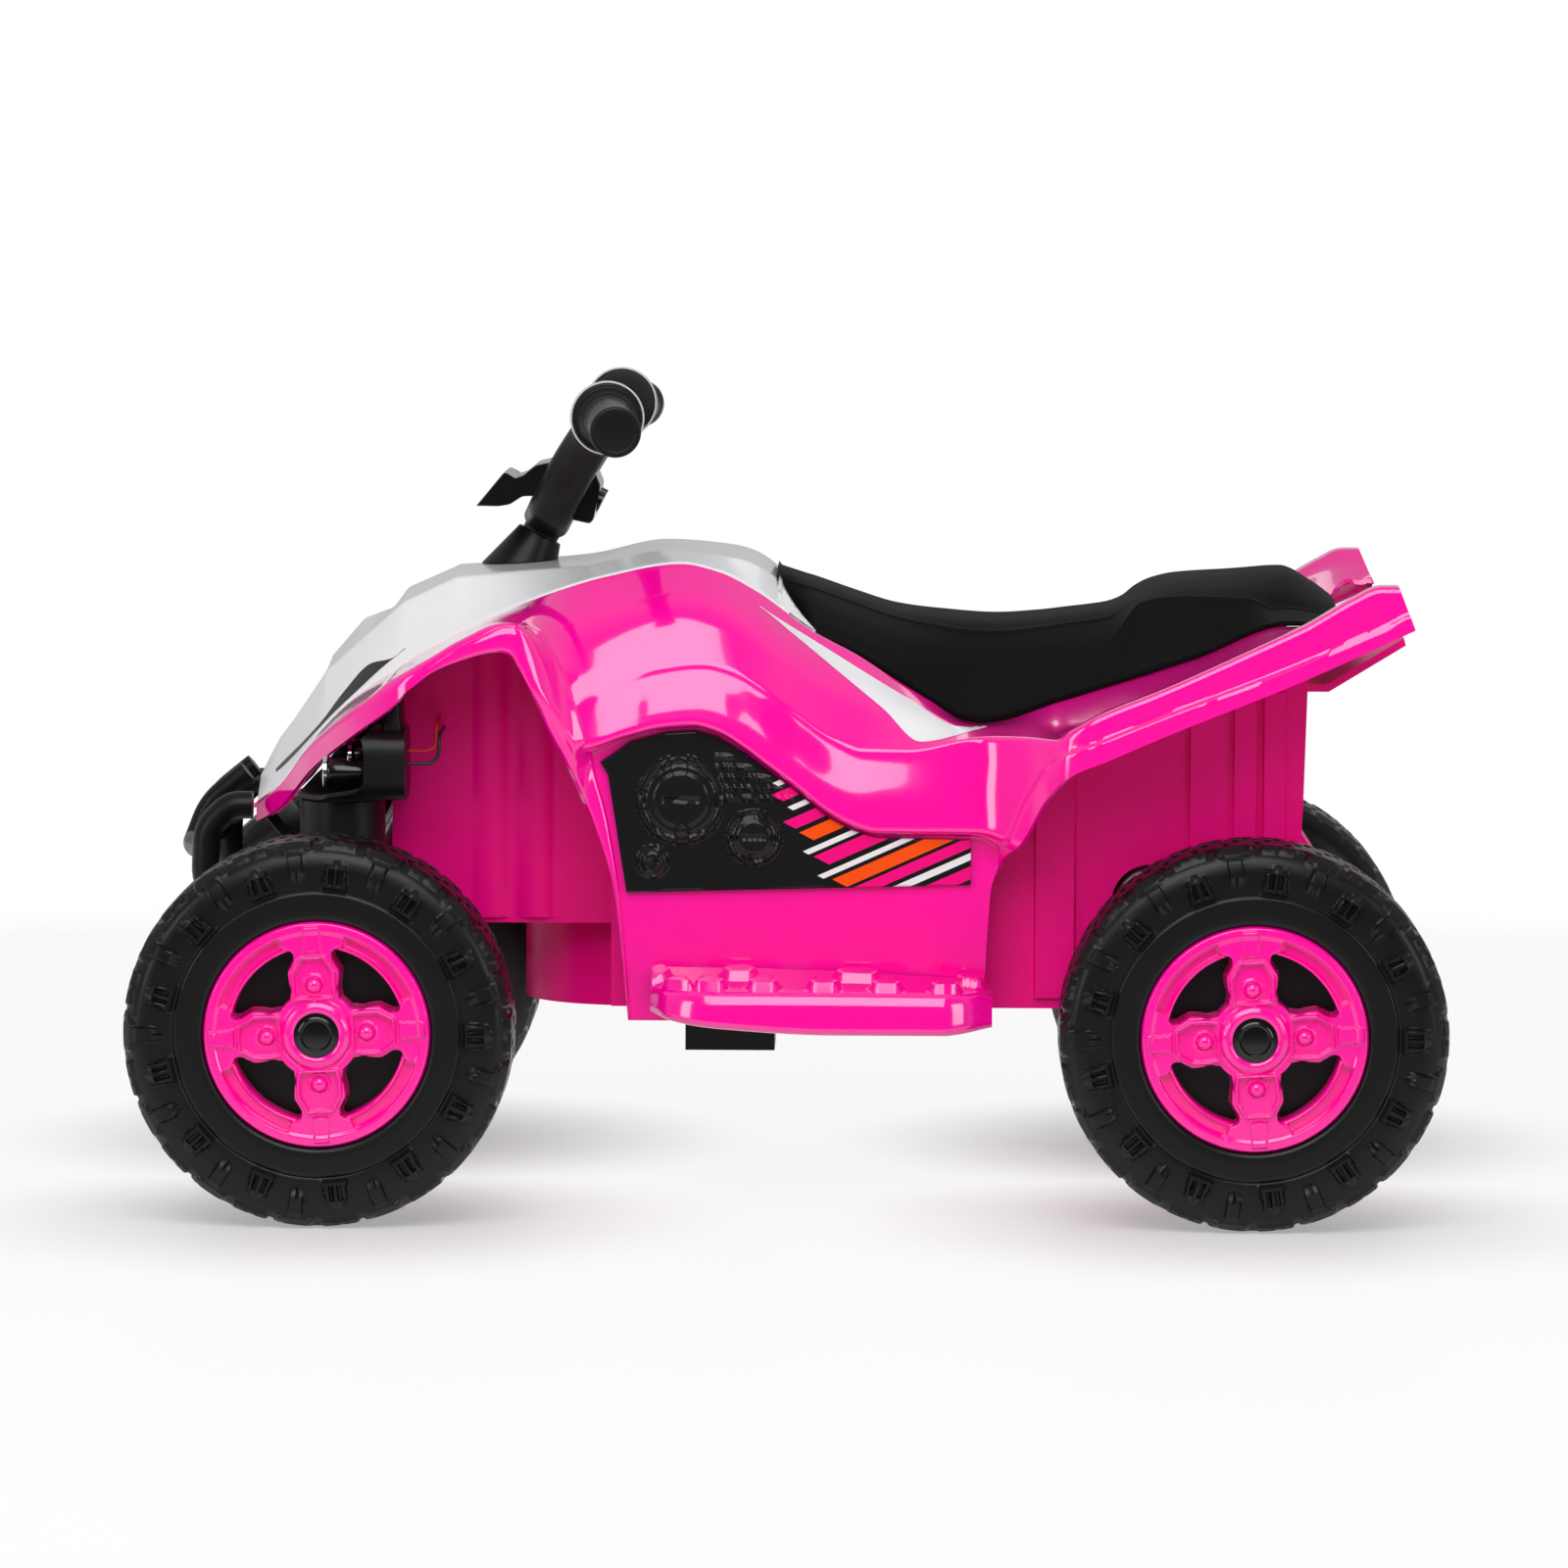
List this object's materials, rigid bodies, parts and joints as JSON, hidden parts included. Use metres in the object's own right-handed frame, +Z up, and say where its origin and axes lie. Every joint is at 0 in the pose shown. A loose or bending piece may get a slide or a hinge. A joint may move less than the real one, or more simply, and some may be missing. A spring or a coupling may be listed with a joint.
{
  "type": "ride-on quad bike",
  "caption": "Child's ride-on quad bike: pink moulded body, white cowl, black seat, steered front wheels, handlebar, bumper, lamps and geared electric drive.",
  "frame": {"origin": "on the floor, midway between the axles and between the wheels", "axes": "+X to the rear, +Y to the rider's right, +Z up"},
  "size_m": [0.7, 0.42, 0.4449],
  "materials": {
    "body_pink": "gloss",
    "cowl_white": "gloss",
    "tub_pink": "satin",
    "seat_black": "grained",
    "black_plastic": "satin",
    "black_gloss": "gloss",
    "tyre_black": "satin",
    "lamp_chrome": "polished",
    "lens_clear": "clear",
    "steel": "plated",
    "motor_grey": "plated",
    "nylon": "satin",
    "lead_red": "satin",
    "panel_print": "printed"
  },
  "bodies": {
    "chassis": {"upper_body": "body_pink", "footrest_left": "body_pink", "footrest_right": "body_pink", "front_cowl": "cowl_white", "chassis_tub": "tub_pink", "seat": "seat_black", "lamp_pod_left": "black_plastic", "lamp_pod_right": "black_plastic", "bumper": "black_plastic", "front_grille": "black_plastic", "front_axle_frame": "black_plastic", "lower_column_bush": "black_plastic", "column_boot": "black_plastic", "gear_case": "black_plastic", "gear_case_cover": "black_plastic", "pedal_switch_box": "black_plastic", "charging_socket": "black_plastic", "battery": "black_plastic", "lamp_bodies": "lamp_chrome", "lamp_lenses": "lens_clear", "rear_axle": "steel", "axle_nuts_rear": "steel", "body_screws": "steel", "motor": "motor_grey", "lamp_leads": "lead_red", "motor_lead": "lead_red", "engine_panel_left": "panel_print", "engine_panel_right": "panel_print"},
    "steering": {"steering_column": "steel", "handlebar": "black_gloss", "grip_left": "black_plastic", "grip_right": "black_plastic", "grip_rings": "lamp_chrome", "dash_pod": "black_gloss"},
    "horn_key": {"horn_button": "black_gloss"},
    "music_key": {"music_button": "black_gloss"},
    "knuckle_left": {"steering_knuckle_left": "steel", "axle_nut_front_left": "steel"},
    "knuckle_right": {"steering_knuckle_right": "steel", "axle_nut_front_right": "steel"},
    "link": {"tie_rod": "steel"},
    "idler": {"idler_gear": "nylon"},
    "rotor": {"motor_pinion": "nylon"},
    "foot_pedal": {"pedal": "black_plastic"},
    "power_rocker": {"power_switch": "black_plastic"},
    "direction_rocker": {"direction_switch": "black_plastic"},
    "wheel_front_left": {"tyre_front_left": "tyre_black", "wheel_cover_front_left": "body_pink", "hub_cap_front_left": "black_gloss"},
    "wheel_front_right": {"tyre_front_right": "tyre_black", "wheel_cover_front_right": "body_pink", "hub_cap_front_right": "black_gloss"},
    "wheel_rear_left": {"tyre_rear_left": "tyre_black", "wheel_cover_rear_left": "body_pink", "hub_cap_rear_left": "black_gloss", "output_gear": "nylon"},
    "wheel_rear_right": {"tyre_rear_right": "tyre_black", "wheel_cover_rear_right": "body_pink", "hub_cap_rear_right": "black_gloss"}
  },
  "joints": [
    {"name": "steer", "type": "hinge", "parent": "chassis", "child": "steering", "pos_m": [-0.137, 0, 0.36], "axis": [0.4493, 0, 0.8934], "range_deg": [-20, 20]},
    {"name": "horn_push", "type": "slide", "parent": "steering", "child": "horn_key", "axis": [-0.8934, 0, 0.4493], "range_m": [0, 0.0015], "stiffness_N_per_m": 300, "springref_m": -0.0005},
    {"name": "music_push", "type": "slide", "parent": "steering", "child": "music_key", "axis": [-0.8934, 0, 0.4493], "range_m": [0, 0.0015], "stiffness_N_per_m": 300, "springref_m": -0.0005},
    {"name": "kingpin_left", "type": "hinge", "parent": "chassis", "child": "knuckle_left", "pos_m": [-0.24, -0.105, 0.103], "axis": [0, 0, 1], "range_deg": [-20, 20]},
    {"name": "kingpin_right", "type": "hinge", "parent": "chassis", "child": "knuckle_right", "pos_m": [-0.24, 0.105, 0.103], "axis": [0, 0, 1], "range_deg": [-20, 20]},
    {"name": "link_pivot", "type": "hinge", "parent": "knuckle_left", "child": "link", "pos_m": [-0.205, -0.105, 0.107], "axis": [0, 0, 1], "range_deg": [-20, 20]},
    {"name": "front_left_spin", "type": "hinge", "parent": "knuckle_left", "child": "wheel_front_left", "pos_m": [-0.247, -0.172, 0.103], "axis": [0, 1, 0], "continuous": true},
    {"name": "front_right_spin", "type": "hinge", "parent": "knuckle_right", "child": "wheel_front_right", "pos_m": [-0.247, 0.172, 0.103], "axis": [0, 1, 0], "continuous": true},
    {"name": "rear_left_spin", "type": "hinge", "parent": "chassis", "child": "wheel_rear_left", "pos_m": [0.247, -0.172, 0.103], "axis": [0, 1, 0], "continuous": true},
    {"name": "rear_right_spin", "type": "hinge", "parent": "chassis", "child": "wheel_rear_right", "pos_m": [0.247, 0.172, 0.103], "axis": [0, 1, 0], "continuous": true},
    {"name": "idler_spin", "type": "hinge", "parent": "chassis", "child": "idler", "pos_m": [0.21347, -0.064, 0.13301], "axis": [0, 1, 0], "continuous": true},
    {"name": "rotor_spin", "type": "hinge", "parent": "chassis", "child": "rotor", "pos_m": [0.19429, -0.064, 0.16582], "axis": [0, 1, 0], "continuous": true},
    {"name": "pedal_press", "type": "hinge", "parent": "chassis", "child": "foot_pedal", "pos_m": [-0.014, 0.17, 0.1395], "axis": [0, -1, 0], "range_deg": [0, 8], "stiffness_Nm_per_rad": 3, "springref_deg": -2.86},
    {"name": "power_rock", "type": "hinge", "parent": "chassis", "child": "power_rocker", "pos_m": [0.04, 0.1445, 0.188], "axis": [1, 0, 0], "range_deg": [-8, 8]},
    {"name": "direction_rock", "type": "hinge", "parent": "chassis", "child": "direction_rocker", "pos_m": [0.062, 0.1445, 0.188], "axis": [1, 0, 0], "range_deg": [-8, 8]}
  ],
  "couplings": [
    {"joint": "kingpin_left", "follows": "steer", "ratio": 1},
    {"joint": "kingpin_right", "follows": "steer", "ratio": 1},
    {"joint": "link_pivot", "follows": "steer", "ratio": -1},
    {"joint": "rear_left_spin", "follows": "idler_spin", "ratio": -0.2},
    {"joint": "rotor_spin", "follows": "idler_spin", "ratio": -5.3333}
  ]
}
